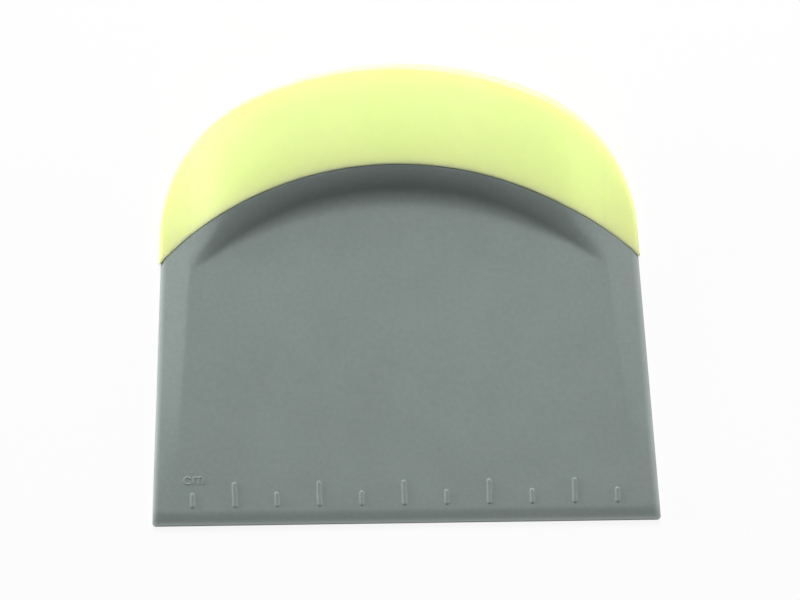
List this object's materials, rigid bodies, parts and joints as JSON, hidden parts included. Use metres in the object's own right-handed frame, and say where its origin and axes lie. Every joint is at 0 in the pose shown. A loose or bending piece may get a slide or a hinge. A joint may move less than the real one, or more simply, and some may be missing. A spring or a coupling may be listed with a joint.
{
  "type": "bowl scraper",
  "caption": "Flat bowl and dough scraper: stiff grey blade with a straight bevelled edge and raised centimetre marks, and a soft lime grip moulded over its rounded top.",
  "frame": {"origin": "on the flat back, in the middle of the overall width and of the overall height from the scraping edge to the top of the grip", "axes": "+X along the scraping edge, to the right as seen from the front; +Y from the scraping edge towards the grip; +Z out of the front face, with the scraper lying on its back"},
  "size_m": [0.1196, 0.1078, 0.0099],
  "materials": {
    "blade_grey": "fine matte mould texture",
    "grip_lime": "soft matte elastomer"
  },
  "bodies": {
    "root": {"blade": "blade_grey", "grip": "grip_lime"}
  },
  "joints": []
}
